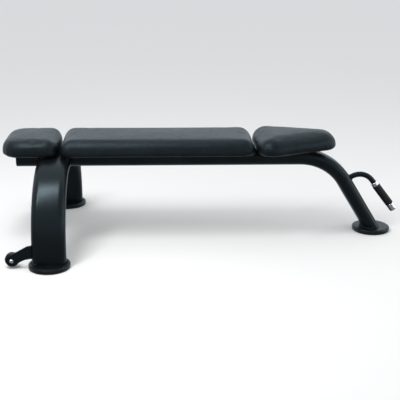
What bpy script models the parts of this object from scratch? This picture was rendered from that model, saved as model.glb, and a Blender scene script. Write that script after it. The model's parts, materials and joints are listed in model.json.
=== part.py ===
"""Flat weight bench: three cushions on one bent tube, with two arched front legs,
transport wheels at the head end and a lift handle at the seat end.

Metres, +Z up. +X runs from the head end to the seat end, and a person sitting at the
seat end and facing +X has +Y on their left. The origin is on the floor, under the
middle of the bench.
"""

import math

import bmesh
import bpy
from mathutils import Matrix, Vector

GAP = 0.0003
EDGE_SHARE = 0.29  # how far in the middle of a quarter round lies, per unit of radius

# Main tube: flat-oval section, level under the cushions, bent down to the rear foot.
BEAM_WIDTH = 0.094
BEAM_HEIGHT = 0.060
BEAM_CORNER = 0.028
BEAM_WALL = 0.003
BEAM_MID_Z = 0.3230
BEAM_HEAD_X = -0.762
BEND_START_X = 0.3855
BEND_RADIUS = 0.226
BEND_ANGLE = math.radians(57.9)
BEND_RINGS = 12
CORNER_STEPS = 4

# Front legs: wider flat-oval tube, each one leaves the side of the main tube and
# arches out and down to its foot.
LEG_WIDTH = 0.1287
LEG_THICKNESS = 0.058
LEG_CORNER = 0.028
LEG_WALL = 0.003
LEG_X = -0.6072
LEG_FOOT_Y = 0.380
LEG_BEND_RADIUS = 0.262
LEG_RINGS = 10
LEG_ROOT_Y = 0.022

# Feet: steel plate in a rubber cup.
FOOT_RADIUS = 0.078
FOOT_CUP_HEIGHT = 0.0150
FOOT_CUP_FLOOR = 0.0080
FOOT_CUP_CHAMFER = 0.0015
FOOT_PLATE_CHAMFER = 0.003
PLATE_RADIUS = 0.0740
PLATE_TOP_Z = 0.0180
REAR_FOOT_X = 0.705
FOOT_SEGMENTS = 32

# Transport wheels.
WHEEL_X = -0.7455
WHEEL_Z = 0.0300
WHEEL_RADIUS = 0.027
WHEEL_WIDTH = 0.024
HUB_RADIUS = 0.016
HUB_BOSS_RADIUS = 0.009
AXLE_RADIUS = 0.005
AXLE_HEAD_RADIUS = 0.008
AXLE_HEAD_HEIGHT = 0.006
AXLE_NUT_RADIUS = 0.0098
AXLE_NUT_HEIGHT = 0.007
BRACKET_Y = 0.390
BRACKET_THICKNESS = 0.006
BRACKET_TOP_Z = 0.0893
BRACKET_LOW_Z = 0.0380
BRACKET_EYE_RADIUS = 0.0215
WASHER_RADIUS = 0.009
WASHER_THICKNESS = 0.0015
WHEEL_SEGMENTS = 24

# Lift handle: round tube that arches off the rear leg, with collar, grip and cap.
HANDLE_RADIUS = 0.0112
HANDLE_WALL = 0.002
HANDLE_TOP = Vector((0.644, 0.0, 0.2436))
HANDLE_BEND_RADIUS = 0.066
HANDLE_DROP = math.radians(51.8)
HANDLE_ROOT = math.radians(-56.0)
HANDLE_RINGS = 9
COLLAR_START = 0.013
COLLAR_LENGTH = 0.0166
COLLAR_RADIUS = 0.0158
GRIP_LENGTH = 0.102
GRIP_RADIUS = 0.0165
GRIP_LIP = 0.006
CAP_LENGTH = 0.0325
CAP_PLUG_LENGTH = 0.018
ROUND_SEGMENTS = 20

# Cushions: foam and cover wrapped round a plywood board. Each pair is the value at the
# head end and at the seat end; a plate is named with its distance from the head end.
PAD_BASE_Z = 0.3576
PAD_EDGE = 0.010
PAD_CROWN = 0.003
PAD_ROUND_STEPS = 5
HEAD_PAD = {
    "x": (-0.814, -0.5895),
    "half_widths": (0.144, 0.144),
    "corners": (0.085, 0.050),
    "thickness": 0.068,
    "round_in": 0.036,
    "round_up": 0.053,
    "tilt": 0.0,
    "plates": {"head_plate": 0.090},
}
BACK_PAD = {
    "x": (-0.5865, 0.1955),
    "half_widths": (0.147, 0.147),
    "corners": (0.042, 0.050),
    "thickness": 0.0665,
    "round_in": 0.038,
    "round_up": 0.052,
    "tilt": 0.0,
    "plates": {"back_plate_head_end": 0.115, "back_plate_seat_end": 0.665},
}
SEAT_PAD = {
    "x": (0.1985, 0.532),
    "half_widths": (0.189, 0.057),
    "corners": (0.060, 0.060),
    "thickness": 0.0728,
    "round_in": 0.064,
    "round_up": 0.053,
    "tilt": math.radians(1.2),
    "plates": {"seat_plate": 0.105},
}
BOARD_INSET = 0.018
BOARD_THICKNESS = 0.012
PLAN_STEPS = 4
SMALLEST_CORNER = 0.006

# Cushion fixings: a cross plate on the main tube, two bolts and two tee nuts each.
CROSS_PLATE_SIZE = (0.060, 0.200, 0.004)
SEAT_SHIM_WIDTH = 0.036
FIXING_SIDES = (("right", -0.080), ("left", 0.080))
BOLT_RADIUS = 0.004
BOLT_HEAD_RADIUS = 0.0075
BOLT_HEAD_HEIGHT = 0.0053
TEE_FLANGE_RADIUS = 0.010
TEE_FLANGE_HEIGHT = 0.0015
TEE_BARREL_RADIUS = 0.005
SMALL_SEGMENTS = 12


def clear_scene():
    for obj in list(bpy.data.objects):
        bpy.data.objects.remove(obj, do_unlink=True)


def material(name, colour, roughness, metallic):
    found = bpy.data.materials.get(name)
    if found:
        return found
    made = bpy.data.materials.new(name)
    made.use_nodes = True
    shader = made.node_tree.nodes["Principled BSDF"]
    shader.inputs["Base Color"].default_value = (*colour, 1.0)
    shader.inputs["Roughness"].default_value = roughness
    shader.inputs["Metallic"].default_value = metallic
    made.diffuse_color = (*colour, 1.0)
    return made


def black_paint(name):
    return material(name + "_paint", (0.022, 0.025, 0.027), 0.32, 0.0)


def chrome(name):
    return material(name + "_chrome", (0.82, 0.83, 0.84), 0.12, 1.0)


def zinc(name):
    return material(name + "_zinc", (0.62, 0.63, 0.64), 0.35, 1.0)


def rubber(name):
    return material(name + "_rubber", (0.02, 0.02, 0.021), 0.75, 0.0)


def vinyl(name):
    return material(name + "_vinyl", (0.028, 0.030, 0.034), 0.48, 0.0)


def plywood(name):
    return material(name + "_plywood", (0.50, 0.34, 0.19), 0.70, 0.0)


def plastic(name):
    return material(name + "_plastic", (0.020, 0.020, 0.021), 0.50, 0.0)


def place(name, bm, surface, parent=None, smooth_angle=35.0):
    """Close off a bmesh as one named object in the scene."""
    bmesh.ops.recalc_face_normals(bm, faces=bm.faces)
    mesh = bpy.data.meshes.new(name)
    bm.to_mesh(mesh)
    bm.free()
    mesh.shade_smooth()
    mesh.set_sharp_from_angle(angle=math.radians(smooth_angle))
    mesh.materials.append(surface)
    obj = bpy.data.objects.new(name, mesh)
    bpy.context.scene.collection.objects.link(obj)
    obj.parent = parent
    return obj


def empty(name, location, rotation=(0.0, 0.0, 0.0)):
    obj = bpy.data.objects.new(name, None)
    obj.location = location
    obj.rotation_euler = rotation
    bpy.context.scene.collection.objects.link(obj)
    return obj


def subtract(obj, cutter):
    cut = obj.modifiers.new("cut_" + cutter.name, "BOOLEAN")
    cut.operation = "DIFFERENCE"
    cut.solver = "EXACT"
    cut.object = cutter
    cutter.hide_render = True
    cutter.display_type = "WIRE"


def bridge(bm, first, second):
    count = len(first)
    for i in range(count):
        j = (i + 1) % count
        bm.faces.new((first[i], first[j], second[j], second[i]))


def loft(bm, rings, caps=True):
    """Skin closed rings of points, each with the same count, into one surface."""
    made = [[bm.verts.new(point) for point in ring] for ring in rings]
    for first, second in zip(made, made[1:]):
        bridge(bm, first, second)
    if caps:
        bm.faces.new(made[0])
        bm.faces.new(made[-1])
    return made


def rounded_rectangle(width, height, radius, steps=CORNER_STEPS):
    points = []
    for quarter, (sx, sy) in enumerate(((1, 1), (-1, 1), (-1, -1), (1, -1))):
        for step in range(steps + 1):
            angle = (quarter + step / steps) * math.pi / 2
            x = sx * (width / 2 - radius) + radius * math.cos(angle)
            y = sy * (height / 2 - radius) + radius * math.sin(angle)
            points.append((x, y))
    return points


def hexagon(radius):
    """Hexagon with a point at each corner and at the middle of each side."""
    corners = circle(radius, 6)
    points = []
    for (x, y), (next_x, next_y) in zip(corners, corners[1:] + corners[:1]):
        points.append((x, y))
        points.append(((x + next_x) / 2, (y + next_y) / 2))
    return points


def circle(radius, segments):
    angles = (2 * math.pi * i / segments for i in range(segments))
    return [(radius * math.cos(a), radius * math.sin(a)) for a in angles]


def swept_ring(frame, outline):
    centre, across, up = frame
    return [centre + across * a + up * b for a, b in outline]


def slide_to_height(ring, direction, height):
    """Move each point along the tube until it meets a level plane."""
    return [p + direction * ((height - p.z) / direction.z) for p in ring]


def tube(name, frames, outer, inner, surface, level_end=None, parent=None):
    """Sweep an outline along frames; with an inner outline the tube is open-ended."""
    bm = bmesh.new()
    outlines = [outer] if inner is None else [outer, inner]
    skins = []
    for outline in outlines:
        rings = [swept_ring(frame, outline) for frame in frames]
        if level_end is not None:
            direction = (frames[-1][0] - frames[-2][0]).normalized()
            rings[-1] = slide_to_height(rings[-1], direction, level_end)
        skins.append(loft(bm, rings, caps=inner is None))
    if inner is not None:
        bridge(bm, skins[0][0], skins[1][0])
        bridge(bm, skins[0][-1], skins[1][-1])
    return place(name, bm, surface, parent)


def turned(name, profile, segments, surface, parent=None, closed=False, matrix=None):
    """Turn (radius, height) points about Z. A closed profile makes a ring."""
    bm = bmesh.new()
    loops = []
    for radius, height in profile:
        if radius == 0:
            loops.append([bm.verts.new((0.0, 0.0, height))])
        else:
            loops.append([bm.verts.new((x, y, height)) for x, y in circle(radius, segments)])
    pairs = list(zip(loops, loops[1:]))
    if closed:
        pairs.append((loops[-1], loops[0]))
    for first, second in pairs:
        if len(first) == 1 or len(second) == 1:
            tip, rim = (first[0], second) if len(first) == 1 else (second[0], first)
            for i in range(segments):
                bm.faces.new((tip, rim[i], rim[(i + 1) % segments]))
        else:
            bridge(bm, first, second)
    if matrix:
        bmesh.ops.transform(bm, matrix=matrix, verts=bm.verts)
    return place(name, bm, surface, parent)


def drill(name, radius, segments, surface, matrix, parent=None):
    """Cutter for a round hole right through a thin piece."""
    reach = 0.020
    rod = [(0, -reach), (radius, -reach), (radius, reach), (0, reach)]
    return turned(name, rod, segments, surface, parent, matrix=matrix)


def box(name, size, centre, surface, parent=None):
    bm = bmesh.new()
    bmesh.ops.create_cube(bm, size=1.0)
    bmesh.ops.scale(bm, vec=size, verts=bm.verts)
    bmesh.ops.translate(bm, vec=centre, verts=bm.verts)
    return place(name, bm, surface, parent)


# ---- frame ----


def beam_frames():
    """Level run, bend and straight rear leg, as frames along the main tube."""
    across = Vector((0, 1, 0))
    level = Vector((0, 0, 1))
    frames = [(Vector((BEAM_HEAD_X, 0, BEAM_MID_Z)), across, level)]
    centre = Vector((BEND_START_X, 0, BEAM_MID_Z - BEND_RADIUS))
    for i in range(BEND_RINGS + 1):
        angle = BEND_ANGLE * i / BEND_RINGS
        normal = Vector((math.sin(angle), 0, math.cos(angle)))
        frames.append((centre + normal * BEND_RADIUS, across, normal))
    last, _, normal = frames[-1]
    direction = Vector((math.cos(BEND_ANGLE), 0, -math.sin(BEND_ANGLE)))
    length = (last.z - PLATE_TOP_Z - GAP) / math.sin(BEND_ANGLE)
    frames.append((last + direction * length, across, normal))
    return frames


def main_beam():
    outer = rounded_rectangle(BEAM_WIDTH, BEAM_HEIGHT, BEAM_CORNER)
    inner = rounded_rectangle(
        BEAM_WIDTH - 2 * BEAM_WALL, BEAM_HEIGHT - 2 * BEAM_WALL, BEAM_CORNER - BEAM_WALL
    )
    level = PLATE_TOP_Z + GAP
    tube("main_beam", beam_frames(), outer, inner, black_paint("main_beam"), level)


def beam_cutter():
    """The outside of the main tube, grown by the clearance, to cope its neighbours."""
    grown = rounded_rectangle(
        BEAM_WIDTH + 2 * GAP, BEAM_HEIGHT + 2 * GAP, BEAM_CORNER + GAP
    )
    return tube("beam_cutter", beam_frames(), grown, None, black_paint("main_beam"))


def beam_end_plug():
    """Plastic plug in the open head end of the main tube."""
    flange_thickness = 0.003
    insert_depth = 0.020
    slack = 0.0004
    flange = rounded_rectangle(BEAM_WIDTH, BEAM_HEIGHT, BEAM_CORNER)
    insert = rounded_rectangle(
        BEAM_WIDTH - 2 * (BEAM_WALL + slack),
        BEAM_HEIGHT - 2 * (BEAM_WALL + slack),
        BEAM_CORNER - BEAM_WALL - slack,
    )
    face_x = BEAM_HEAD_X - GAP
    stations = (
        (face_x - flange_thickness, flange),
        (face_x, flange),
        (face_x, insert),
        (face_x + insert_depth, insert),
    )
    bm = bmesh.new()
    rings = [[Vector((x, a, BEAM_MID_Z + b)) for a, b in ring] for x, ring in stations]
    loft(bm, rings)
    place("beam_end_plug", bm, plastic("beam_end_plug"))


def leg_frames(side):
    """Level root inside the main tube, quarter bend, short drop to the foot plate."""
    along = Vector((1, 0, 0))
    bend_y = LEG_FOOT_Y - LEG_BEND_RADIUS
    frames = [(Vector((LEG_X, side * LEG_ROOT_Y, BEAM_MID_Z)), along, Vector((0, 0, 1)))]
    for i in range(LEG_RINGS + 1):
        angle = math.pi / 2 * i / LEG_RINGS
        normal = Vector((0, side * math.sin(angle), math.cos(angle)))
        centre = Vector((LEG_X, side * bend_y, BEAM_MID_Z - LEG_BEND_RADIUS))
        frames.append((centre + normal * LEG_BEND_RADIUS, along, normal))
    foot = Vector((LEG_X, side * LEG_FOOT_Y, PLATE_TOP_Z + GAP))
    frames.append((foot, along, Vector((0, side, 0))))
    return frames


def front_leg(name, side, cutter):
    outer = rounded_rectangle(LEG_WIDTH, LEG_THICKNESS, LEG_CORNER)
    inner = rounded_rectangle(
        LEG_WIDTH - 2 * LEG_WALL, LEG_THICKNESS - 2 * LEG_WALL, LEG_CORNER - LEG_WALL
    )
    leg = tube(name, leg_frames(side), outer, inner, black_paint(name))
    subtract(leg, cutter)


def foot(name, x, y):
    """Steel plate welded to the leg, and the rubber cup that it stands in."""
    at = Matrix.Translation((x, y, 0))
    chamfer = FOOT_PLATE_CHAMFER
    bevel_middle = chamfer * EDGE_SHARE
    plate = [
        (0, FOOT_CUP_FLOOR + GAP),
        (PLATE_RADIUS, FOOT_CUP_FLOOR + GAP),
        (PLATE_RADIUS, PLATE_TOP_Z - chamfer),
        (PLATE_RADIUS - bevel_middle, PLATE_TOP_Z - bevel_middle),
        (PLATE_RADIUS - chamfer, PLATE_TOP_Z),
        (0, PLATE_TOP_Z),
    ]
    label = "foot_plate_" + name
    turned(label, plate, FOOT_SEGMENTS, black_paint(label), matrix=at)
    recess = PLATE_RADIUS + GAP
    lip = 0.001
    cup = [
        (0, 0),
        (FOOT_RADIUS - FOOT_CUP_CHAMFER, 0),
        (FOOT_RADIUS, FOOT_CUP_CHAMFER),
        (FOOT_RADIUS, FOOT_CUP_HEIGHT - 2 * lip),
        (FOOT_RADIUS - lip, FOOT_CUP_HEIGHT),
        (recess, FOOT_CUP_HEIGHT),
        (recess, FOOT_CUP_FLOOR),
        (0, FOOT_CUP_FLOOR),
    ]
    label = "foot_cup_" + name
    turned(label, cup, FOOT_SEGMENTS, rubber(label), matrix=at)


# ---- transport wheels ----


def leg_edge_x(y):
    """Where the head-end edge of a leg is, at a distance y from the middle."""
    corner_x = LEG_X - LEG_WIDTH / 2 + LEG_CORNER
    corner_y = LEG_FOOT_Y + LEG_THICKNESS / 2 - LEG_CORNER
    return corner_x - math.sqrt(LEG_CORNER ** 2 - (y - corner_y) ** 2)


def bracket_outline(root_x):
    """Side view of the arm: root at the leg, long straight top, round eye at the axle."""
    axle = Vector((WHEEL_X, WHEEL_Z))
    shoulder = Vector((root_x - 0.015, BRACKET_TOP_Z - 0.002))
    outline = [Vector((root_x, BRACKET_TOP_Z)), shoulder]
    eye_start = math.radians(118)
    eye_turn = math.radians(184)
    eye_steps = 12
    for i in range(eye_steps + 1):
        angle = eye_start + eye_turn * i / eye_steps
        spoke = Vector((math.cos(angle), math.sin(angle)))
        outline.append(axle + BRACKET_EYE_RADIUS * spoke)
    first = outline[-1]
    pull = Vector((root_x - 0.034, BRACKET_LOW_Z))
    last = Vector((root_x, BRACKET_LOW_Z))
    curve_steps = 6
    for i in range(1, curve_steps + 1):
        t = i / curve_steps
        outline.append(first.lerp(pull, t).lerp(pull.lerp(last, t), t))
    return outline


def wheel_bracket(name, side):
    """Flat arm from the head-end edge of the leg down to the axle."""
    half = BRACKET_THICKNESS / 2
    rings = []
    for y in (BRACKET_Y - half, BRACKET_Y + half):
        outline = bracket_outline(leg_edge_x(y) - GAP)
        rings.append([Vector((p.x, side * y, p.y)) for p in outline])
    bm = bmesh.new()
    loft(bm, rings)
    bracket = place(name, bm, black_paint(name))
    to_axle = Matrix.Translation((WHEEL_X, side * BRACKET_Y, WHEEL_Z))
    across = to_axle @ Matrix.Rotation(math.pi / 2, 4, "X")
    hole = drill(name + "_hole", AXLE_RADIUS + GAP, ROUND_SEGMENTS, black_paint(name), across)
    subtract(bracket, hole)


def wheel(name, side):
    """Tread and hub; local +Z points to the middle of the bench."""
    turn_in = Matrix.Rotation(side * math.pi / 2, 4, "X")
    spin = empty(name + "_axle", (WHEEL_X, side * wheel_mid_y(), WHEEL_Z))
    half = WHEEL_WIDTH / 2
    tread_bore = HUB_RADIUS + GAP
    tread = [
        (tread_bore, -half + 0.002),
        (tread_bore, half - 0.002),
        (WHEEL_RADIUS - 0.007, half - 0.002),
        (WHEEL_RADIUS - 0.005, half),
        (WHEEL_RADIUS - 0.0015, half - 0.0015),
        (WHEEL_RADIUS, half - 0.005),
        (WHEEL_RADIUS, -half + 0.005),
        (WHEEL_RADIUS - 0.0015, -half + 0.0015),
        (WHEEL_RADIUS - 0.005, -half),
        (WHEEL_RADIUS - 0.007, -half + 0.002),
    ]
    label = name + "_tread"
    turned(label, tread, WHEEL_SEGMENTS, rubber(label), spin, True, turn_in)
    bore = AXLE_RADIUS + GAP
    web = half - 0.003
    hub = [
        (bore, -half),
        (bore, half),
        (HUB_BOSS_RADIUS, half),
        (HUB_BOSS_RADIUS, web),
        (HUB_RADIUS, web),
        (HUB_RADIUS, -web),
        (HUB_BOSS_RADIUS, -web),
        (HUB_BOSS_RADIUS, -half),
    ]
    label = name + "_hub"
    turned(label, hub, WHEEL_SEGMENTS, plastic(label), spin, True, turn_in)


def wheel_mid_y():
    bracket_inner = BRACKET_Y - BRACKET_THICKNESS / 2
    return bracket_inner - 2 * GAP - WASHER_THICKNESS - WHEEL_WIDTH / 2


def axle_set(name, side):
    """Axle bolt through the bracket and wheel, with its washers and nut."""
    turn_in = Matrix.Rotation(side * math.pi / 2, 4, "X")
    head_face = BRACKET_Y + BRACKET_THICKNESS / 2 + GAP
    outer_washer = wheel_mid_y() + WHEEL_WIDTH / 2 + GAP + WASHER_THICKNESS
    inner_washer = wheel_mid_y() - WHEEL_WIDTH / 2 - GAP
    nut_face = inner_washer - WASHER_THICKNESS - GAP

    def at(distance):
        return Matrix.Translation((WHEEL_X, side * distance, WHEEL_Z)) @ turn_in

    shank_end = head_face - nut_face + AXLE_NUT_HEIGHT + 0.002
    tip = 0.001
    bolt = [
        (0, -AXLE_HEAD_HEIGHT),
        (AXLE_HEAD_RADIUS * 0.62, -AXLE_HEAD_HEIGHT),
        (AXLE_HEAD_RADIUS, -AXLE_HEAD_HEIGHT * 0.45),
        (AXLE_HEAD_RADIUS, 0),
        (AXLE_RADIUS, 0),
        (AXLE_RADIUS, shank_end - tip),
        (AXLE_RADIUS - tip, shank_end),
        (0, shank_end),
    ]
    label = name + "_bolt"
    turned(label, bolt, ROUND_SEGMENTS, chrome(label), matrix=at(head_face))
    bore = AXLE_RADIUS + GAP
    ring = [
        (bore, 0),
        (WASHER_RADIUS, 0),
        (WASHER_RADIUS, WASHER_THICKNESS),
        (bore, WASHER_THICKNESS),
    ]
    for end, face in (("outer", outer_washer), ("inner", inner_washer)):
        label = name + "_washer_" + end
        turned(label, ring, ROUND_SEGMENTS, zinc(label), closed=True, matrix=at(face))
    label = name + "_nut"
    body = [
        (0, 0),
        (AXLE_NUT_RADIUS, 0),
        (AXLE_NUT_RADIUS, AXLE_NUT_HEIGHT),
        (0, AXLE_NUT_HEIGHT),
    ]
    nut = turned(label, body, 6, zinc(label), matrix=at(nut_face))
    subtract(nut, drill(label + "_hole", bore, ROUND_SEGMENTS, zinc(label), at(nut_face)))


# ---- lift handle ----


def handle_frames():
    across = Vector((0, 1, 0))
    centre = HANDLE_TOP - Vector((0, 0, HANDLE_BEND_RADIUS))
    frames = []
    for i in range(HANDLE_RINGS + 1):
        angle = HANDLE_ROOT + (HANDLE_DROP - HANDLE_ROOT) * i / HANDLE_RINGS
        normal = Vector((math.sin(angle), 0, math.cos(angle)))
        frames.append((centre + normal * HANDLE_BEND_RADIUS, across, normal))
    return frames


def lift_handle(cutter):
    """Bent tube, then collar, grip and cap in line on its straight end."""
    frames = handle_frames()
    bend_end, across, normal = frames[-1]
    down = Vector((math.cos(HANDLE_DROP), 0, -math.sin(HANDLE_DROP)))
    grip_start = COLLAR_START + COLLAR_LENGTH + GAP
    cap_start = grip_start + GRIP_LENGTH + GAP
    frames.append((bend_end + down * (cap_start - GAP), across, normal))
    outer = circle(HANDLE_RADIUS, ROUND_SEGMENTS)
    inner = circle(HANDLE_RADIUS - HANDLE_WALL, ROUND_SEGMENTS)
    handle = tube("handle_tube", frames, outer, inner, black_paint("handle_tube"))
    subtract(handle, cutter)

    axis = empty("handle_axis", bend_end, (0, math.pi / 2 + HANDLE_DROP, 0))
    bore = HANDLE_RADIUS + GAP
    bevel = 0.001
    end = COLLAR_START + COLLAR_LENGTH
    collar = [
        (bore, COLLAR_START),
        (bore, end),
        (COLLAR_RADIUS - bevel, end),
        (COLLAR_RADIUS, end - bevel),
        (COLLAR_RADIUS, COLLAR_START + bevel),
        (COLLAR_RADIUS - bevel, COLLAR_START),
    ]
    turned("handle_collar", collar, ROUND_SEGMENTS, chrome("handle_collar"), axis, True)
    end = grip_start + GRIP_LENGTH
    grip = [
        (bore, grip_start),
        (bore, end),
        (GRIP_RADIUS, end),
        (GRIP_RADIUS, end - GRIP_LIP),
        (GRIP_RADIUS - bevel, end - GRIP_LIP - bevel),
        (GRIP_RADIUS - bevel, grip_start + GRIP_LIP + bevel),
        (GRIP_RADIUS, grip_start + GRIP_LIP),
        (GRIP_RADIUS, grip_start),
    ]
    turned("handle_grip", grip, ROUND_SEGMENTS, rubber("handle_grip"), axis, True)
    plug_radius = HANDLE_RADIUS - HANDLE_WALL - GAP
    tip = cap_start + CAP_LENGTH
    rounding = 0.004
    cap = [
        (0, cap_start - CAP_PLUG_LENGTH),
        (plug_radius, cap_start - CAP_PLUG_LENGTH),
        (plug_radius, cap_start),
        (GRIP_RADIUS, cap_start),
        (GRIP_RADIUS, tip - rounding),
        (GRIP_RADIUS - rounding * EDGE_SHARE, tip - rounding * EDGE_SHARE),
        (GRIP_RADIUS - rounding, tip),
        (0, tip),
    ]
    turned("handle_end_cap", cap, ROUND_SEGMENTS, chrome("handle_end_cap"), axis)


# ---- cushions ----


def plan_ring(corners, radii, inset, height):
    """Convex plan outline, moved in by inset, with round corners, as points."""
    points = []
    count = len(corners)
    for i, corner in enumerate(corners):
        back = (corners[i - 1] - corner).normalized()
        ahead = (corners[(i + 1) % count] - corner).normalized()
        half = back.angle(ahead) / 2
        bisector = (back + ahead).normalized()
        radius = max(radii[i] - inset, SMALLEST_CORNER)
        tip = corner + bisector * (inset / math.sin(half))
        centre = tip + bisector * (radius / math.sin(half))
        reach = radius / math.tan(half)
        first = tip + back * reach - centre
        turn = math.pi - 2 * half
        for step in range(PLAN_STEPS + 1):
            spoke = Matrix.Rotation(turn * step / PLAN_STEPS, 2) @ first
            points.append(Vector((centre.x + spoke.x, centre.y + spoke.y, height)))
    return points


def pad_plan(pad):
    """Corners of the plan, from the pad's head end."""
    length = pad["x"][1] - pad["x"][0]
    head_half, seat_half = pad["half_widths"]
    return [
        Vector((0, -head_half)),
        Vector((length, -seat_half)),
        Vector((length, seat_half)),
        Vector((0, head_half)),
    ]


def corner_radii(pad):
    head, seat = pad["corners"]
    return (head, seat, seat, head)


def cushion(name, pad, axis):
    """Foam and cover in one closed solid, with a pocket below for the board."""
    pocket = BOARD_INSET - GAP
    stations = [
        (pocket, BOARD_THICKNESS + GAP),
        (pocket, 0.0),
        (PAD_EDGE, 0.0),
        (PAD_EDGE * EDGE_SHARE, PAD_EDGE * EDGE_SHARE),
        (0.0, PAD_EDGE),
    ]
    shoulder = pad["thickness"] - PAD_CROWN - pad["round_up"]
    for i in range(PAD_ROUND_STEPS + 1):
        angle = math.pi / 2 * i / PAD_ROUND_STEPS
        inward = pad["round_in"] * (1 - math.cos(angle))
        stations.append((inward, shoulder + pad["round_up"] * math.sin(angle)))
    corners = pad_plan(pad)
    bm = bmesh.new()
    rings = [plan_ring(corners, corner_radii(pad), inset, z) for inset, z in stations]
    skin = loft(bm, rings, caps=False)
    bm.faces.new(skin[0])
    centre = sum((vert.co for vert in skin[-1]), Vector()) / len(skin[-1])
    top = bm.verts.new((centre.x, 0.0, pad["thickness"]))
    for i, vert in enumerate(skin[-1]):
        bm.faces.new((vert, skin[-1][(i + 1) % len(skin[-1])], top))
    place(name, bm, vinyl(name), parent=axis)


def board(name, pad, axis):
    """Plywood board with two stepped holes at each fixing."""
    outline = pad_plan(pad)
    levels = (0.0, BOARD_THICKNESS)
    bm = bmesh.new()
    loft(bm, [plan_ring(outline, corner_radii(pad), BOARD_INSET, z) for z in levels])
    panel = place(name, bm, plywood(name), parent=axis)
    barrel = TEE_BARREL_RADIUS + GAP
    flange = TEE_FLANGE_RADIUS + GAP
    seat = BOARD_THICKNESS - TEE_FLANGE_HEIGHT - 2 * GAP
    clear = 0.010
    stepped = [
        (0, -clear),
        (barrel, -clear),
        (barrel, seat),
        (flange, seat),
        (flange, BOARD_THICKNESS + clear),
        (0, BOARD_THICKNESS + clear),
    ]
    for plate_name, x in pad["plates"].items():
        for side, y in FIXING_SIDES:
            label = "%s_%s_board_hole" % (plate_name, side)
            at = Matrix.Translation((x, y, 0))
            hole = turned(label, stepped, SMALL_SEGMENTS, plywood(name), axis, matrix=at)
            subtract(panel, hole)


def cross_plate(name, x, axis):
    """Flat steel bar across the main tube, drilled for two bolts."""
    middle = (x, 0, -GAP - CROSS_PLATE_SIZE[2] / 2)
    plate = box(name, CROSS_PLATE_SIZE, middle, black_paint(name), axis)
    for side, y in FIXING_SIDES:
        at = Matrix.Translation((x, y, 0))
        label = "%s_%s_hole" % (name, side)
        hole = drill(label, BOLT_RADIUS + GAP, SMALL_SEGMENTS, black_paint(name), at, axis)
        subtract(plate, hole)


def fixing(name, x, y, axis):
    """Hex bolt up through the cross plate into a tee nut let into the board."""
    head_face = -2 * GAP - CROSS_PLATE_SIZE[2]
    stations = (
        (hexagon(BOLT_HEAD_RADIUS), head_face - BOLT_HEAD_HEIGHT),
        (hexagon(BOLT_HEAD_RADIUS), head_face),
        (circle(BOLT_RADIUS, SMALL_SEGMENTS), head_face),
        (circle(BOLT_RADIUS, SMALL_SEGMENTS), BOARD_THICKNESS - 0.001),
    )
    bm = bmesh.new()
    loft(bm, [[Vector((x + px, y + py, z)) for px, py in ring] for ring, z in stations])
    label = name + "_bolt"
    place(label, bm, zinc(label), parent=axis)

    bore = BOLT_RADIUS + GAP
    flange_top = BOARD_THICKNESS - GAP
    flange_low = flange_top - TEE_FLANGE_HEIGHT
    barrel_low = 0.002
    tee = [
        (bore, barrel_low),
        (bore, flange_top),
        (TEE_FLANGE_RADIUS, flange_top),
        (TEE_FLANGE_RADIUS, flange_low),
        (TEE_BARREL_RADIUS, flange_low),
        (TEE_BARREL_RADIUS, barrel_low),
    ]
    label = name + "_tee_nut"
    at = Matrix.Translation((x, y, 0))
    turned(label, tee, SMALL_SEGMENTS, zinc(label), axis, True, at)


def padded_section(name, pad):
    """One cushion with its board, cross plates and fixings."""
    at = (pad["x"][0], 0, PAD_BASE_Z)
    axis = empty(name + "_place", at, (0, -pad["tilt"], 0))
    cushion(name + "_cushion", pad, axis)
    board(name + "_board", pad, axis)
    for plate_name, x in pad["plates"].items():
        cross_plate(plate_name, x, axis)
        for side, y in FIXING_SIDES:
            fixing("%s_%s" % (plate_name, side), x, y, axis)


def seat_shim():
    """Tapered packing between the level tube and the tilted seat plate."""
    length, _, thickness = CROSS_PLATE_SIZE
    tilt = SEAT_PAD["tilt"]
    low = BEAM_MID_Z + BEAM_HEIGHT / 2 + GAP
    drop = thickness + 2 * GAP
    outline = []
    for end in (-1, 1):
        along = SEAT_PAD["plates"]["seat_plate"] + end * length / 2
        x = SEAT_PAD["x"][0] + along * math.cos(tilt) + drop * math.sin(tilt)
        top = PAD_BASE_Z + along * math.sin(tilt) - drop * math.cos(tilt)
        outline += [(x, low), (x, top)] if end < 0 else [(x, top), (x, low)]
    half = SEAT_SHIM_WIDTH / 2
    bm = bmesh.new()
    loft(bm, [[Vector((x, y, z)) for x, z in outline] for y in (-half, half)])
    place("seat_shim", bm, black_paint("seat_shim"))


def build():
    clear_scene()
    main_beam()
    cutter = beam_cutter()
    beam_end_plug()
    for label, side in (("right", -1), ("left", 1)):
        front_leg("leg_" + label, side, cutter)
        foot("front_" + label, LEG_X, side * LEG_FOOT_Y)
        wheel_bracket("wheel_bracket_" + label, side)
        wheel("wheel_" + label, side)
        axle_set("wheel_" + label, side)
    foot("rear", REAR_FOOT_X, 0)
    lift_handle(cutter)
    padded_section("head", HEAD_PAD)
    padded_section("back", BACK_PAD)
    padded_section("seat", SEAT_PAD)
    seat_shim()


build()
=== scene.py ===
import json
import math

import bpy
from mathutils import Matrix, Vector
from mathutils.bvhtree import BVHTree

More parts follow.
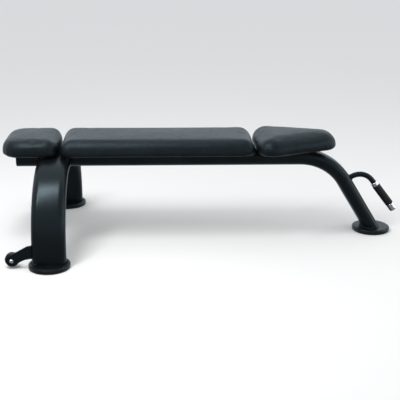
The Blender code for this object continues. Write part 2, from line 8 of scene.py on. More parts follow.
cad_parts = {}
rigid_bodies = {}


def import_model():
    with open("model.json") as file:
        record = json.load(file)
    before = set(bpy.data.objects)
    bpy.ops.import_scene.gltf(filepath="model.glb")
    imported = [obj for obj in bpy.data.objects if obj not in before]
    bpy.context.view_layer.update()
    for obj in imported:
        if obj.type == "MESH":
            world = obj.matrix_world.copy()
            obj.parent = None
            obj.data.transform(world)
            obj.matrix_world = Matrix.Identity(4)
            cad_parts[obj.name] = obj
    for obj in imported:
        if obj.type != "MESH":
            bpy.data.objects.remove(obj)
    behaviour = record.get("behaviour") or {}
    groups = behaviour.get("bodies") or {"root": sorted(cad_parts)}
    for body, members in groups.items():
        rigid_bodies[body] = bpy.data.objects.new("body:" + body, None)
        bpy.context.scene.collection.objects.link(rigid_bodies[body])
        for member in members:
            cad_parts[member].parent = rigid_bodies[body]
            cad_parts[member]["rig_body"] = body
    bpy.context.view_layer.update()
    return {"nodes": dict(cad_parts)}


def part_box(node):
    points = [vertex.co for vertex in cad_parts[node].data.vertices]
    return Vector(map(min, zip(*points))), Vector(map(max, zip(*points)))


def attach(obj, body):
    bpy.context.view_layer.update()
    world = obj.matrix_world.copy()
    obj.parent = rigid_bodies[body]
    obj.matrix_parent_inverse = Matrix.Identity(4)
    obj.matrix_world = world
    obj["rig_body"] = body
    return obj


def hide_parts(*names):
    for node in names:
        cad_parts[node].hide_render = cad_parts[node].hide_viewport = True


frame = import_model()
nodes = frame["nodes"]
print("frame loaded,", len(nodes), "parts")


class Num:  # a number socket that can stand in a sum
    def __init__(self, paint, socket):
        self.paint = paint
        self.socket = socket

    def work(self, operation, first, second):
        return self.paint.node("ShaderNodeMath", {"operation": operation}, {0: first, 1: second})

    def __add__(self, other):
        return self.work("ADD", self, other)

    def __sub__(self, other):
        return self.work("SUBTRACT", self, other)

    def __rsub__(self, other):
        return self.work("SUBTRACT", other, self)

    def __mul__(self, other):
        return self.work("MULTIPLY", self, other)

    def __truediv__(self, other):
        return self.work("DIVIDE", self, other)

    __radd__ = __add__
    __rmul__ = __mul__


class Paint:  # one material, its sockets fed by name
    def __init__(self, name, fixed):
        self.material = bpy.data.materials.new(name)
        self.material.use_nodes = True
        self.tree = self.material.node_tree
        self.shader = self.tree.nodes["Principled BSDF"]
        self.place = self.node("ShaderNodeTexCoord", {}, {}, "Object")
        self.set(fixed)

    def node(self, kind, settings, sockets, out=0):
        made = self.tree.nodes.new(kind)
        for key, value in settings.items():
            if key == "stops":
                self.stops(made.color_ramp.elements, value)
            else:
                setattr(made, key, value)
        for key, value in sockets.items():
            self.feed(made.inputs[key], value)
        return Num(self, made.outputs[out])

    def stops(self, elements, wanted):
        while len(elements) < len(wanted):
            elements.new(0.5)
        for element, (position, shade) in zip(elements, wanted):
            element.position = position
            element.color = (shade, shade, shade, 1)

    def feed(self, socket, value):
        if isinstance(value, Num):
            self.tree.links.new(value.socket, socket)
        else:
            socket.default_value = value

    def set(self, sockets):
        for key, value in sockets.items():
            self.feed(self.shader.inputs[key], value)

    def noise(self, scale, detail=2.0, place=None):
        sockets = {"Vector": place or self.place, "Scale": scale, "Detail": detail}
        return self.node("ShaderNodeTexNoise", {}, sockets, "Fac")

    def ramp(self, value, *wanted):
        return self.node("ShaderNodeValToRGB", {"stops": wanted}, {"Fac": value}, "Color")

    def mix(self, mask, first, second):
        sockets = {0: mask, 6: (*first, 1), 7: (*second, 1)}  # 6 and 7 are its two colours
        return self.node("ShaderNodeMix", {"data_type": "RGBA"}, sockets, 2)

    def height(self):
        return self.node("ShaderNodeSeparateXYZ", {}, {0: self.place}, "Z")

    def stretched(self, scale):
        return self.node("ShaderNodeMapping", {}, {"Vector": self.place, "Scale": scale})

    def bump(self, height, distance):
        sockets = {"Height": height, "Distance": distance, "Strength": 1.0}
        self.set({"Normal": self.node("ShaderNodeBump", {}, sockets, "Normal")})


powder = {
    "black": (0.0045, 0.0052, 0.0058),
    "worn": (0.0100, 0.0110, 0.0115),
    "wornShare": 0.8,
    "sheen": (0.68, 0.90, 1.0, 1),
    "specular": 0.28,
    "roughness": 0.31,
    "cloudScale": 9,
    "cloudRough": 0.12,
    "peelScale": 620,
    "peelRough": 0.05,
    "peelDepth": 0.00012,
}


def powderCoat():
    fixed = {"Specular IOR Level": powder["specular"], "Specular Tint": powder["sheen"]}
    paint = Paint("powderCoat", fixed)
    peel = paint.noise(powder["peelScale"], 3.0)
    cloud = paint.noise(powder["cloudScale"], 4.0)
    dust = paint.ramp(cloud, (0.48, 0), (0.78, 1))
    dull = powder["roughness"] + (cloud - 0.5) * powder["cloudRough"]
    paint.set(
        {
            "Base Color": paint.mix(dust * powder["wornShare"], powder["black"], powder["worn"]),
            "Roughness": dull + (peel - 0.5) * powder["peelRough"],
        }
    )
    paint.bump(peel, powder["peelDepth"])
    return paint.material


vinyl = {
    "black": (0.0055, 0.0066, 0.0078),
    "worn": (0.0105, 0.0125, 0.0145),
    "wornShare": 0.35,
    "sheen": (0.68, 0.90, 1.0, 1),
    "specular": 0.27,
    "roughness": 0.23,
    "cloudScale": 11,
    "cloudRough": 0.10,
    "grainScale": 760,
    "grainRough": 0.06,
    "grainDepth": 0.00030,
    "wobbleScale": 240,
    "wobble": 0.0012,
    "poreScale": 1500,
    "creaseScale": 26,
    "creaseShare": 5.0,
}


def pebbles(paint):  # small cells with bent edges, pressed into the vinyl
    where = {"Vector": paint.place, "Scale": vinyl["wobbleScale"], "Detail": 2}
    wobble = paint.node("ShaderNodeTexNoise", {}, where, "Color")
    moved = {0: wobble, "Scale": vinyl["wobble"]}
    shift = paint.node("ShaderNodeVectorMath", {"operation": "SCALE"}, moved)
    bent = paint.node("ShaderNodeVectorMath", {"operation": "ADD"}, {0: paint.place, 1: shift})
    where = {"Vector": bent, "Scale": vinyl["grainScale"]}
    cells = paint.node("ShaderNodeTexVoronoi", {"feature": "DISTANCE_TO_EDGE"}, where, "Distance")
    return paint.ramp(cells, (0.0, 0), (0.28, 1))


def padVinyl():
    fixed = {"Specular IOR Level": vinyl["specular"], "Specular Tint": vinyl["sheen"]}
    paint = Paint("padVinyl", fixed)
    pebble = pebbles(paint)
    cloud = paint.noise(vinyl["cloudScale"], 4.0)
    pores = paint.noise(vinyl["poreScale"], 2.0)
    crease = paint.noise(vinyl["creaseScale"], 3.0, paint.stretched((1, 2.4, 2.4)))
    touched = paint.ramp(cloud, (0.42, 0), (0.72, 1))
    dull = vinyl["roughness"] + (cloud - 0.5) * vinyl["cloudRough"]
    paint.set(
        {
            "Base Color": paint.mix(touched * vinyl["wornShare"], vinyl["black"], vinyl["worn"]),
            "Roughness": dull + (1 - pebble) * vinyl["grainRough"],
        }
    )
    relief = pebble * 0.5 + pores * 0.25 + crease * vinyl["creaseShare"]
    paint.bump(relief, vinyl["grainDepth"])
    return paint.material


metals = {
    "chrome": {"colour": (0.95, 0.95, 0.96), "dull": (0.78, 0.79, 0.81), "roughness": 0.18},
    "axle": {"colour": (0.78, 0.79, 0.80), "dull": (0.50, 0.51, 0.52), "roughness": 0.20},
    "zinc": {"colour": (0.62, 0.63, 0.60), "dull": (0.38, 0.39, 0.38), "roughness": 0.34},
}
plating = {
    "hazeScale": 60,
    "hazeShare": 0.6,
    "hazeRough": 0.12,
    "scratchScale": 900,
    "scratchRough": 0.08,
    "scratchDepth": 0.00002,
}


def brightMetal(name, metal):
    paint = Paint(name, {"Metallic": 1.0})
    cloud = paint.noise(plating["hazeScale"], 4.0)
    scratch = paint.noise(plating["scratchScale"], 2.0, paint.stretched((0.15, 1, 1)))
    haze = paint.ramp(cloud, (0.45, 0), (0.80, 1))
    dull = metal["roughness"] + haze * plating["hazeRough"]
    paint.set(
        {
            "Base Color": paint.mix(haze * plating["hazeShare"], metal["colour"], metal["dull"]),
            "Roughness": dull + (scratch - 0.5) * plating["scratchRough"],
        }
    )
    paint.bump(scratch, plating["scratchDepth"])
    return paint.material


moulded = {
    "foot": {
        "black": (0.0065, 0.0070, 0.0075),
        "pale": (0.0150, 0.0160, 0.0170),
        "roughness": 0.36,
        "grain": 900,
        "depth": 0.00012,
    },
    "grip": {
        "black": (0.0050, 0.0052, 0.0056),
        "pale": (0.0100, 0.0104, 0.0110),
        "roughness": 0.48,
        "grain": 1500,
        "depth": 0.00010,
    },
    "tread": {
        "black": (0.0100, 0.0102, 0.0108),
        "pale": (0.0260, 0.0260, 0.0260),
        "roughness": 0.44,
        "grain": 800,
        "depth": 0.00012,
    },
    "hub": {
        "black": (0.0070, 0.0072, 0.0076),
        "pale": (0.0160, 0.0164, 0.0170),
        "roughness": 0.36,
        "grain": 1800,
        "depth": 0.00004,
    },
    "plug": {
        "black": (0.0070, 0.0072, 0.0076),
        "pale": (0.0150, 0.0152, 0.0156),
        "roughness": 0.40,
        "grain": 1600,
        "depth": 0.00005,
    },
}
scuffs = {"specular": 0.35, "scale": 34, "share": 0.55, "rough": 0.16, "grainRough": 0.08}


def mouldedBlack(name, mould):
    paint = Paint(name, {"Specular IOR Level": scuffs["specular"]})
    speck = paint.noise(mould["grain"], 2.0)
    cloud = paint.noise(scuffs["scale"], 4.0)
    scuff = paint.ramp(cloud, (0.52, 0), (0.80, 1))
    dull = mould["roughness"] + (cloud - 0.5) * scuffs["rough"]
    paint.set(
        {
            "Base Color": paint.mix(scuff * scuffs["share"], mould["black"], mould["pale"]),
            "Roughness": dull + (speck - 0.5) * scuffs["grainRough"],
        }
    )
    paint.bump(speck, mould["depth"])
    return paint.material


wood = {
    "pale": (0.44, 0.30, 0.17),
    "dark": (0.22, 0.13, 0.065),
    "ply": 0.0024,
    "plyShare": 0.3,
    "figureShare": 0.6,
    "grainScale": 95,
    "poreScale": 420,
    "poreRough": 0.2,
    "depth": 0.00015,
    "specular": 0.3,
    "roughness": 0.62,
}


def plywood():
    paint = Paint("plywood", {"Specular IOR Level": wood["specular"]})
    sockets = {0: paint.height(), 1: wood["ply"]}
    stripe = paint.node("ShaderNodeMath", {"operation": "PINGPONG"}, sockets) / wood["ply"]
    grain = paint.noise(wood["grainScale"], 5.0, paint.stretched((0.06, 1, 1)))
    pores = paint.noise(wood["poreScale"], 3.0, paint.stretched((0.05, 1, 1)))
    figure = paint.ramp(grain * 0.7 + pores * 0.3, (0.36, 0), (0.64, 1))
    darker = figure * wood["figureShare"] + stripe * wood["plyShare"]
    paint.set(
        {
            "Base Color": paint.mix(darker, wood["pale"], wood["dark"]),
            "Roughness": wood["roughness"] + (pores - 0.5) * wood["poreRough"],
        }
    )
    paint.bump(grain + pores * 0.5, wood["depth"])
    return paint.material


finishes = {
    "frame_paint": powderCoat(),
    "pad_vinyl": padVinyl(),
    "board_plywood": plywood(),
    "foot_rubber": mouldedBlack("footRubber", moulded["foot"]),
    "grip_rubber": mouldedBlack("gripRubber", moulded["grip"]),
    "tread_rubber": mouldedBlack("treadRubber", moulded["tread"]),
    "hub_plastic": mouldedBlack("hubPlastic", moulded["hub"]),
    "plug_plastic": mouldedBlack("plugPlastic", moulded["plug"]),
    "handle_chrome": brightMetal("handleChrome", metals["chrome"]),
    "axle_chrome": brightMetal("axleChrome", metals["axle"]),
    "zinc_hardware": brightMetal("zincPlate", metals["zinc"]),
}
slots = {name: part.data.materials[0].name for name, part in nodes.items()}
for name, part in nodes.items():
    part.material_slots[0].material = finishes[slots[name]]
print("finishes on", len(nodes), "parts")


def only(obj):
    if bpy.context.object and bpy.context.object.mode != "OBJECT":
        bpy.ops.object.mode_set(mode="OBJECT")
    bpy.ops.object.select_all(action="DESELECT")
    obj.select_set(True)
    bpy.context.view_layer.objects.active = obj


def editAll(obj):  # into edit mode with the whole mesh selected
    only(obj)
    bpy.ops.object.mode_set(mode="EDIT")
    bpy.ops.mesh.select_all(action="SELECT")


def doneEditing():
    bpy.ops.object.mode_set(mode="OBJECT")


def faceOutwards(obj):
    editAll(obj)
    bpy.ops.mesh.normals_make_consistent(inside=False)
    doneEditing()


def applyAll(obj):
    only(obj)
    for modifier in list(obj.modifiers):
        bpy.ops.object.modifier_apply(modifier=modifier.name)


def newObject(name, mesh):
    made = bpy.data.objects.new(name, mesh)
    bpy.context.collection.objects.link(made)
    return made


def copyOf(part, name):  # a copy of a part from the frame, its loose triangles merged
    made = newObject(name, nodes[part].data.copy())
    editAll(made)
    bpy.ops.mesh.remove_doubles(threshold=0.00002)
    bpy.ops.mesh.normals_make_consistent(inside=False)
    doneEditing()
    return made


def dress(obj, name, body, slotName):
    obj.name = name
    obj.data.materials.clear()
    obj.data.materials.append(finishes[slotName])
    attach(obj, body)


def settle(obj, name, body, slotName, angle):  # smooth below the angle, placed and dressed
    only(obj)
    bpy.ops.object.transform_apply(location=True, rotation=True, scale=True)
    bpy.ops.object.shade_smooth_by_angle(angle=math.radians(angle))
    dress(obj, name, body, slotName)


cushions = {  # tilt: how much higher than the board's low end the underside may lie
    "head": {"voxel": 0.0045, "cap": 0.0020, "tilt": 0.004},
    "back": {"voxel": 0.0060, "cap": 0.0025, "tilt": 0.004},
    "seat": {"voxel": 0.0045, "cap": 0.0020, "tilt": 0.011},
}
foam = {
    "shrink": 0.0010,
    "pressure": 2.0,
    "mass": 0.3,
    "stretch": 30,
    "bend": 2.0,
    "frames": 20,
    "glued": 0.006,  # cloth nearer than this to the board stays put
    "gluedBelow": -0.75,  # and so does cloth whose normal points down more than this
    "flatBelow": -0.98,
}
cover = {
    "cloth": 0.0009,
    "clear": 0.00015,
    "tucked": 0.006,
    "folded": 0.022,
    "staple": (0.0100, 0.0012, 0.0012),
    "stapleSoft": 0.0004,
    "stapleProud": 0.0004,
    "stapleEvery": 0.036,
    "stapleLine": 0.6,
}


def surfaceOf(part):
    mesh = nodes[part].data
    corners = [vertex.co for vertex in mesh.vertices]
    return BVHTree.FromPolygons(corners, [face.vertices for face in mesh.polygons])


def inflate(pad, board, cap):  # cloth blown up over the foam, held where it meets the board
    tree = surfaceOf(board)
    held = pad.vertex_groups.new(name="held")
    start = [vertex.co.copy() for vertex in pad.data.vertices]
    for vertex in pad.data.vertices:
        gap = tree.find_nearest(vertex.co)[3]
        if gap < foam["glued"] or vertex.normal.z < foam["gluedBelow"]:
            held.add([vertex.index], 1.0, "REPLACE")
    cloth = pad.modifiers.new("Cloth", "CLOTH").settings
    cloth.quality = 5
    cloth.mass = foam["mass"]
    cloth.tension_stiffness = foam["stretch"]
    cloth.compression_stiffness = foam["stretch"]
    cloth.bending_stiffness = foam["bend"]
    cloth.use_pressure = True
    cloth.uniform_pressure_force = foam["pressure"]
    cloth.vertex_group_mass = "held"
    cloth.effector_weights.gravity = 0
    scene = bpy.context.scene
    for step in range(1, foam["frames"] + 1):
        scene.frame_set(step)
    applyAll(pad)
    scene.frame_set(1)
    for vertex, before in zip(pad.data.vertices, start):
        moved = vertex.co - before
        if moved.length > cap:
            vertex.co = before + moved.normalized() * cap


def smoothOver(pad, times):
    editAll(pad)
    bpy.ops.mesh.vertices_smooth(factor=0.5, repeat=times)
    doneEditing()


def cushion(which):
    pad = copyOf(which + "_cushion", which + "Cushion")
    rest = [vertex.co.z for vertex in pad.data.vertices]
    under = [face for face in pad.data.polygons if face.normal.z < foam["flatBelow"]]
    rim = {corner for face in under for corner in face.vertices}
    editAll(pad)
    bpy.ops.transform.shrink_fatten(value=-foam["shrink"])
    doneEditing()
    for index in rim:  # the underside stays level with the board
        pad.data.vertices[index].co.z = rest[index]
    pad.data.remesh_voxel_size = cushions[which]["voxel"]
    pad.data.remesh_voxel_adaptivity = 0
    bpy.ops.object.voxel_remesh()
    smoothOver(pad, 2)
    inflate(pad, which + "_board", cushions[which]["cap"])
    smoothOver(pad, 3)
    smooth = pad.modifiers.new("Subdivision", "SUBSURF")
    smooth.levels = 1
    smooth.render_levels = 1
    applyAll(pad)
    settle(pad, which + "Cushion", "frame", "pad_vinyl", 80)
    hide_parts(which + "_cushion")
    print(which, "cushion", len(pad.data.polygons), "faces")


def loopOf(mesh, edges):  # the points of a closed run of edges, in order
    after = {}
    for edge in edges:
        for one, other in (edge.vertices, reversed(edge.vertices)):
            after.setdefault(one, []).append(other)
    first = min(after)
    order = [first, min(after[first])]
    while True:
        one, other = after[order[-1]]
        following = other if one == order[-2] else one
        if following == first:
            return [mesh.vertices[index].co.copy() for index in order]
        order.append(following)


def inwards(points, normal, by):  # a closed outline moved in by a distance, in its own plane
    middle = sum(points, Vector()) / len(points)
    moved = []
    for index, point in enumerate(points):
        along = (points[(index + 1) % len(points)] - points[index - 1]).normalized()
        side = along.cross(normal)
        if side.dot(middle - point) < 0:
            side.negate()
        moved.append(point + side * by)
    return moved


def onlyUnderside(obj, which):  # leaves the faces round the board, the edges of that rim selected
    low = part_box(which + "_board")[0].z
    only(obj)
    bpy.ops.object.mode_set(mode="EDIT")
    bpy.ops.mesh.select_mode(type="FACE")
    bpy.ops.mesh.select_all(action="DESELECT")
    doneEditing()
    for face in obj.data.polygons:
        level = face.center.z - low < cushions[which]["tilt"]
        face.select = level and face.normal.z < foam["flatBelow"]
    bpy.ops.object.mode_set(mode="EDIT")
    bpy.ops.mesh.select_all(action="INVERT")
    bpy.ops.mesh.delete(type="FACE")
    bpy.ops.mesh.select_mode(type="EDGE")
    bpy.ops.mesh.select_all(action="SELECT")
    bpy.ops.mesh.region_to_loop()
    doneEditing()


def boardOutline(which):  # the line where the cover meets the board, and that plane's normal
    rim = copyOf(which + "_cushion", which + "Underfold")
    onlyUnderside(rim, which)
    points = rim.data.vertices
    edges = [edge for edge in rim.data.edges if edge.select]
    middle = sum((point.co for point in points), Vector()) / len(points)
    normal = rim.data.polygons[0].normal.copy()
    reach = {}
    for edge in edges:
        for index in edge.vertices:
            reach[index] = (points[index].co - middle).length
    linked = {min(reach, key=reach.get)}  # the inner loop holds the point nearest the middle
    grown = True
    while grown:
        grown = False
        for edge in edges:
            if len(linked & set(edge.vertices)) == 1:
                linked.update(edge.vertices)
                grown = True
    outline = loopOf(rim.data, [edge for edge in edges if edge.vertices[0] in linked])
    bpy.data.objects.remove(rim, do_unlink=True)
    return outline, normal


def underfold(which):  # the border of the cover, folded under the board
    outline, normal = boardOutline(which)
    outer = inwards(outline, normal, -cover["tucked"])
    inner = inwards(outline, normal, cover["folded"])
    count = len(outline)
    drop = normal * cover["clear"]
    points = [point + drop for ring in (outer, outline, inner) for point in ring]
    faces = []
    for ring in (0, count):
        for index in range(count):
            here, there = ring + index, ring + (index + 1) % count
            faces.append((here, there, there + count, here + count))
    mesh = bpy.data.meshes.new(which + "Underfold")
    mesh.from_pydata(points, [], faces)
    made = newObject(which + "Underfold", mesh)
    faceOutwards(made)
    if made.data.polygons[0].normal.dot(normal) < 0:
        made.data.flip_normals()
    wall = made.modifiers.new("Solidify", "SOLIDIFY")
    wall.thickness = cover["cloth"]
    wall.offset = 1
    applyAll(made)
    settle(made, which + "Underfold", "frame", "pad_vinyl", 40)
    staples(which, inwards(outline, normal, cover["folded"] * cover["stapleLine"]), normal)


def oneStaple():
    bpy.ops.object.select_all(action="DESELECT")
    bpy.ops.mesh.primitive_cube_add(size=1, scale=cover["staple"])
    first = bpy.context.object
    bpy.ops.object.transform_apply(location=False, rotation=False, scale=True)
    soft = first.modifiers.new("Bevel", "BEVEL")
    soft.width = cover["stapleSoft"]
    soft.segments = 2
    applyAll(first)
    return first


def staples(which, line, normal):
    first = oneStaple()
    copies = []
    done = 0.0
    wanted = cover["stapleEvery"] / 2
    for index, point in enumerate(line):
        run = line[(index + 1) % len(line)] - point
        along = run.normalized()
        side = normal.cross(along).normalized()
        while done + run.length > wanted:
            turn = Matrix((along, side, normal)).transposed().to_4x4()
            at = point + along * (wanted - done)
            turn.translation = at + normal * (cover["cloth"] + cover["stapleProud"])
            copied = newObject("staple", first.data.copy())
            copied.data.transform(turn)
            copies.append(copied)
            wanted += cover["stapleEvery"]
        done += run.length
    bpy.data.objects.remove(first, do_unlink=True)
    only(copies[0])
    for copied in copies:
        copied.select_set(True)
    bpy.ops.object.join()
    settle(copies[0], which + "Staples", "frame", "zinc_hardware", 40)


for which in cushions:
    cushion(which)
    underfold(which)
print("cushions covered and stapled")

eased = {  # how far each part's sharp edges are eased
    "main_beam": 0.0008,
    "leg_left": 0.0008,
    "leg_right": 0.0008,
    "handle_tube": 0.0004,
    "handle_collar": 0.0006,
    "handle_end_cap": 0.0008,
    "beam_end_plug": 0.0008,
    "seat_shim": 0.0003,
}
for side in ("left", "right"):
    eased["foot_plate_front_" + side] = 0.0007
    eased["foot_cup_front_" + side] = 0.0010
    eased["wheel_bracket_" + side] = 0.0008
    eased["wheel_" + side + "_tread"] = 0.0012
    eased["wheel_" + side + "_hub"] = 0.0005
eased["foot_plate_rear"] = 0.0007
eased["foot_cup_rear"] = 0.0010
for plate in ("head_plate", "back_plate_head_end", "back_plate_seat_end", "seat_plate"):
    eased[plate] = 0.0005
shading = {"flatWithin": 0.5, "smoothBelow": 38, "easeAbove": 40}  # degrees


def pieceName(part):  # wheel_left_hub becomes wheelHubLeft
    first, *rest = sorted(part.split("_"), key=lambda word: word in ("left", "right"))
    return first + "".join(word.title() for word in rest)


def easedCopy(part, width):  # the same shape with its edges eased and its curves smooth
    piece = copyOf(part, pieceName(part))
    editAll(piece)
    bpy.ops.mesh.dissolve_limited(angle_limit=math.radians(shading["flatWithin"]))
    doneEditing()
    ease = piece.modifiers.new("Bevel", "BEVEL")
    ease.width = width
    ease.segments = 2
    ease.limit_method = "ANGLE"
    ease.angle_limit = math.radians(shading["easeAbove"])
    even = piece.modifiers.new("WeightedNormal", "WEIGHTED_NORMAL")
    even.keep_sharp = True
    only(piece)
    bpy.ops.object.shade_smooth_by_angle(angle=math.radians(shading["smoothBelow"]))
    applyAll(piece)
    dress(piece, pieceName(part), nodes[part]["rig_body"], slots[part])
    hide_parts(part)


for part, width in eased.items():
    easedCopy(part, width)
print("edges eased on", len(eased), "parts")

grip = {
    "lean": 51.8,
    "length": 0.1020,
    "radius": 0.0165,
    "bore": 0.0114,
    "soft": 0.001,
    "lip": 0.0045,
    "lipRise": 0.0008,
    "ribs": 17,
    "groove": 0.0013,
    "grooveEnds": 0.25,  # shares of one rib's pitch
    "crestStarts": 0.42,
    "crestEnds": 0.82,
    "segments": 48,
}


def gripProfile():  # distance along the grip and radius there, from end to end
    length, top, soft, lip = grip["length"], grip["radius"], grip["soft"], grip["lip"]
    valley = top - grip["groove"]
    pitch = (length - 2 * lip) / grip["ribs"]
    profile = [(0, top - soft), (soft, top), (lip - soft, top)]
    for rib in range(grip["ribs"]):
        start = lip + rib * pitch
        profile += [(start, valley), (start + pitch * grip["grooveEnds"], valley)]
        profile += [(start + pitch * grip["crestStarts"], top)]
        profile += [(start + pitch * grip["crestEnds"], top)]
    profile += [(length - lip, valley), (length - lip + grip["lipRise"], top)]
    return profile + [(length - soft, top), (length, top - soft), (length, grip["bore"])]


def ribbedGrip():
    low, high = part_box("handle_grip")
    bpy.ops.object.select_all(action="DESELECT")
    bpy.ops.mesh.primitive_circle_add(vertices=grip["segments"], radius=grip["bore"])
    piece = bpy.context.object
    editAll(piece)
    height, radius = 0.0, grip["bore"]
    for along, wanted in gripProfile():
        rise = (0, 0, along - height)
        bpy.ops.mesh.extrude_region_move(TRANSFORM_OT_translate={"value": rise})
        bpy.ops.transform.resize(value=(wanted / radius, wanted / radius, 1))
        height, radius = along, wanted
    bpy.ops.mesh.select_all(action="DESELECT")
    bpy.ops.mesh.select_non_manifold(extend=False)
    bpy.ops.mesh.bridge_edge_loops()
    faceOutwards(piece)
    lean = math.radians(grip["lean"])
    axis = Vector((math.cos(lean), 0, -math.sin(lean)))
    piece.data.transform(Matrix.Translation((0, 0, -grip["length"] / 2)))
    piece.data.transform(axis.to_track_quat("Z", "Y").to_matrix().to_4x4())
    piece.data.transform(Matrix.Translation((low + high) / 2))
    settle(piece, "ribbedGrip", "frame", "grip_rubber", 50)
    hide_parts("handle_grip")


ribbedGrip()
print("grip ribbed")

weld = {
    "radius": 0.0030,
    "foot": 0.0042,
    "small": 0.0022,
    "ripple": 0.16,
    "pitch": 0.0046,
    "around": 8,
    "perScallop": 6,
    "proud": 0.0006,
    "corner": 0.028,
    "ringAbove": 0.0015,  # the tube's points up to here above the foot plate
    "archFlatter": 0.0010,
    "bracketCorner": 0.003,
    "bracketEnd": 0.003,
    "bracketProud": 0.0008,
    "handleEnd": 0.0009,
    "rearSlope": 57.9,
}


def ovalRun(halfWide, halfTall, corner, steps=16):  # points round a flat oval, facing outwards
    corner = min(corner, halfWide, halfTall)
    wide, tall = halfWide - corner, halfTall - corner
    run = []
    for quarter, (signX, signY) in enumerate(((1, 1), (-1, 1), (-1, -1), (1, -1))):
        for step in range(steps + 1):
            angle = math.pi / 2 * (quarter + step / steps)
            out = Vector((math.cos(angle), math.sin(angle)))
            run.append((Vector((signX * wide, signY * tall)) + out * corner, out))
    return run


def lengthsAlong(run):
    lengths = [0.0]
    points = [point for point, out in run]
    for point, following in zip(points, points[1:] + points[:1]):
        lengths.append(lengths[-1] + (following - point).length)
    return lengths


def evenly(run, lengths, count):  # the run again, as evenly spaced points
    found = []
    at = 0
    for index in range(count):
        wanted = lengths[-1] * index / count
        while lengths[at + 1] < wanted:
            at += 1
        share = (wanted - lengths[at]) / max(lengths[at + 1] - lengths[at], 1e-9)
        here, there = run[at], run[(at + 1) % len(run)]
        found.append((here[0].lerp(there[0], share), here[1].lerp(there[1], share).normalized()))
    return found


def weldBead(name, place, half, corner, radius=weld["radius"]):  # a rippled bead round a tube
    run = ovalRun(*half, corner)
    lengths = lengthsAlong(run)
    scallops = round(lengths[-1] / weld["pitch"])
    count = scallops * weld["perScallop"]
    outline = evenly(run, lengths, count)
    around = weld["around"]
    bpy.ops.object.select_all(action="DESELECT")
    bpy.ops.mesh.primitive_torus_add(
        major_segments=count, minor_segments=around, major_radius=1, minor_radius=radius
    )
    bead = bpy.context.object
    for index, vertex in enumerate(bead.data.vertices):
        ring = index // around
        point, out = outline[ring]
        swell = 1 + weld["ripple"] * math.sin(2 * math.pi * scallops * ring / count)
        away = (math.hypot(vertex.co.x, vertex.co.y) - 1) * swell
        flat = point + out * away
        vertex.co = place @ Vector((flat.x, flat.y, vertex.co.z * swell))
    faceOutwards(bead)
    settle(bead, name, "frame", "frame_paint", 80)


def plane(origin, first, second):
    third = Vector(first).cross(Vector(second))
    made = Matrix((first, second, third)).transposed().to_4x4()
    made.translation = origin
    return made


def ringNear(part, test):  # middle and half sizes of a part's points that pass a test
    points = [vertex.co for vertex in nodes[part].data.vertices if test(vertex.co)]
    low = Vector([min(point[axis] for point in points) for axis in range(3)])
    high = Vector([max(point[axis] for point in points) for axis in range(3)])
    return (low + high) / 2, (high - low) / 2


def footWeld(name, tube, plate):  # returns the middle and half sizes of the tube's lower end
    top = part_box(plate)[1].z
    middle, half = ringNear(tube, lambda point: point.z < top + weld["ringAbove"])
    at = plane((middle.x, middle.y, top + weld["proud"]), (1, 0, 0), (0, 1, 0))
    weldBead(name, at, (half.x, half.y), weld["corner"], weld["foot"])
    return middle, half


def frontWelds(side, sign):
    proud = weld["proud"]
    plate = "foot_plate_front_" + side
    middle, half = footWeld("footWeld" + side.title(), "leg_" + side, plate)
    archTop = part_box("leg_" + side)[1].z
    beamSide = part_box("beam_end_plug")[1].y
    root = (middle.x, sign * (beamSide + proud), archTop - half.y)
    at = plane(root, (1, 0, 0), (0, 0, 1))
    oval = (half.x + proud, half.y - weld["archFlatter"])
    weldBead("legWeld" + side.title(), at, oval, weld["corner"])
    edge = middle.x - half.x
    reach = edge - weld["bracketEnd"]
    joint, half = ringNear("wheel_bracket_" + side, lambda point: point.x > reach)
    at = plane((edge + weld["bracketProud"], joint.y, joint.z), (0, 1, 0), (0, 0, 1))
    oval = (half.y + proud, half.z)
    weldBead("bracketWeld" + side.title(), at, oval, weld["bracketCorner"], weld["small"])


def handleWeld():
    tree = surfaceOf("main_beam")
    near = weld["handleEnd"]
    root, reach = ringNear("handle_tube", lambda point: tree.find_nearest(point)[3] < near)
    lean = math.radians(weld["rearSlope"])
    at = plane(root, (0, 1, 0), (math.cos(lean), 0, -math.sin(lean)))
    oval = (reach.y + weld["proud"], reach.z / math.sin(lean) + weld["proud"])
    weldBead("handleWeld", at, oval, max(oval), weld["small"])  # all corner, no straight run


for side, sign in (("left", 1), ("right", -1)):
    frontWelds(side, sign)
footWeld("footWeldRear", "main_beam", "foot_plate_rear")
handleWeld()
print("welds laid")

camera = {
    "place": (-0.2071, -3.3528, 1.2264),
    "turn": 0.0549,
    "dip": 0.314,
    "roll": 0.008636,
    "lens": 76.22,
}


def photographer():
    turn, dip, roll = camera["turn"], camera["dip"], camera["roll"]
    level = Vector((math.sin(turn), math.cos(turn), 0))
    ahead = level * math.cos(dip) - Vector((0, 0, math.sin(dip)))
    right = Vector((math.cos(turn), -math.sin(turn), 0))
    up = right.cross(ahead)
    across = math.cos(roll) * right + math.sin(roll) * up
    above = math.cos(roll) * up - math.sin(roll) * right
    eye = newObject("camera", bpy.data.cameras.new("camera"))
    eye.data.lens = camera["lens"]
    eye.data.sensor_width = 36
    pose = Matrix((across, above, -ahead)).transposed().to_4x4()
    pose.translation = camera["place"]
    eye.matrix_world = pose
    bpy.context.scene.camera = eye


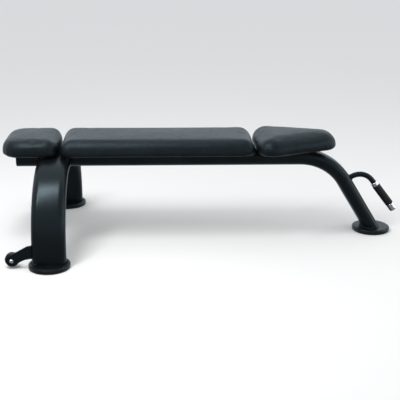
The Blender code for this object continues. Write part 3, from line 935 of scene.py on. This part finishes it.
studio = {
    "floor": (0.86, 0.86, 0.86),
    "floorDull": (0.8, 0.8, 0.8),
    "floorSize": 140,
    "tint": (0.80, 0.92, 1.0, 1),
    "front": 0.20,
    "backdrop": 0.66,
    "backwards": (-0.15, 0.45),  # where the front turns into the backdrop
    "upper": 0.38,
    "upwards": (-0.05, 0.35),  # where the upper light comes in
    "even": 1.04,
    "seen": 0.915,
    "lights": {
        "overheadSoft": {
            "at": (0.1, -0.1, 2.4),
            "size": (2.6, 1.0),
            "watts": 2.5,
            "aim": (0, 0, 0.3),
        },
        "leftSoft": {
            "at": (-1.06, -0.80, 2.0),
            "size": (0.26, 1.15),
            "watts": 25,
            "aim": (-0.64, -0.35, 0.25),
        },
        "frontStrip": {
            "at": (2.6, -2.1, 0.6),
            "size": (0.5, 0.9),
            "watts": 4,
            "aim": (0.75, 0, 0.15),
        },
        "rightStrip": {
            "at": (3.0, -0.2, 0.9),
            "size": (0.8, 1.6),
            "watts": 12,
            "aim": (0.3, 0, 0.25),
        },
    },
}


def paperFloor():
    size = studio["floorSize"]
    bpy.ops.object.select_all(action="DESELECT")
    bpy.ops.mesh.primitive_grid_add(
        x_subdivisions=8, y_subdivisions=8, size=size, location=(0, 0, -0.001)
    )
    floor = bpy.context.object
    floor.name = "floor"
    paint = Paint("floorPaper", {"Specular IOR Level": 0.1, "Roughness": 0.9})
    shade = paint.noise(3, 2.0) * 0.01
    paint.set({"Base Color": paint.mix(shade, studio["floor"], studio["floorDull"])})
    floor.data.materials.append(paint.material)
    floor.visible_glossy = False  # it doesn't show in the paint and the chrome


def fade(tree, between, values):  # a smooth change of strength across the room
    made = tree.nodes.new("ShaderNodeMapRange")
    made.interpolation_type = "SMOOTHSTEP"
    made.inputs["From Min"].default_value, made.inputs["From Max"].default_value = between
    made.inputs["To Min"].default_value, made.inputs["To Max"].default_value = values
    return made


def glow(tree, strength):
    made = tree.nodes.new("ShaderNodeBackground")
    made.inputs["Strength"].default_value = strength
    return made


def roomLight():  # the room as it is reflected, as it lights matt surfaces and as it is seen
    world = bpy.data.worlds.new("studio")
    bpy.context.scene.world = world
    world.use_nodes = True
    tree = world.node_tree
    tree.nodes.clear()
    place = tree.nodes.new("ShaderNodeTexCoord")
    split = tree.nodes.new("ShaderNodeSeparateXYZ")
    spread = fade(tree, studio["backwards"], (studio["front"], studio["backdrop"]))
    lift = fade(tree, studio["upwards"], (0, studio["upper"]))
    total = tree.nodes.new("ShaderNodeMath")
    total.operation = "ADD"
    path = tree.nodes.new("ShaderNodeLightPath")
    around = glow(tree, 1)
    around.inputs["Color"].default_value = studio["tint"]
    seen = glow(tree, studio["seen"])
    even = glow(tree, studio["even"])
    bounce = tree.nodes.new("ShaderNodeMixShader")
    blend = tree.nodes.new("ShaderNodeMixShader")
    output = tree.nodes.new("ShaderNodeOutputWorld")
    for start, end in (
        (place.outputs["Generated"], split.inputs[0]),
        (split.outputs["Y"], spread.inputs["Value"]),
        (split.outputs["Z"], lift.inputs["Value"]),
        (spread.outputs["Result"], total.inputs[0]),
        (lift.outputs["Result"], total.inputs[1]),
        (total.outputs[0], around.inputs["Strength"]),
        (path.outputs["Is Camera Ray"], blend.inputs[0]),
        (path.outputs["Is Diffuse Ray"], bounce.inputs[0]),
        (around.outputs[0], bounce.inputs[1]),
        (even.outputs[0], bounce.inputs[2]),
        (bounce.outputs[0], blend.inputs[1]),
        (seen.outputs[0], blend.inputs[2]),
        (blend.outputs[0], output.inputs[0]),
    ):
        tree.links.new(start, end)


def softbox(name, light):
    data = bpy.data.lights.new(name, "AREA")
    data.shape = "RECTANGLE"
    data.size, data.size_y = light["size"]
    data.energy = light["watts"]
    lamp = newObject(name, data)
    lamp.location = light["at"]
    aim = Vector(light["aim"]) - lamp.location
    lamp.rotation_euler = aim.to_track_quat("-Z", "Y").to_euler()


photographer()
paperFloor()
roomLight()
for name, light in studio["lights"].items():
    softbox(name, light)
bpy.context.scene.view_settings.view_transform = "Standard"
print("camera, floor and lights set")
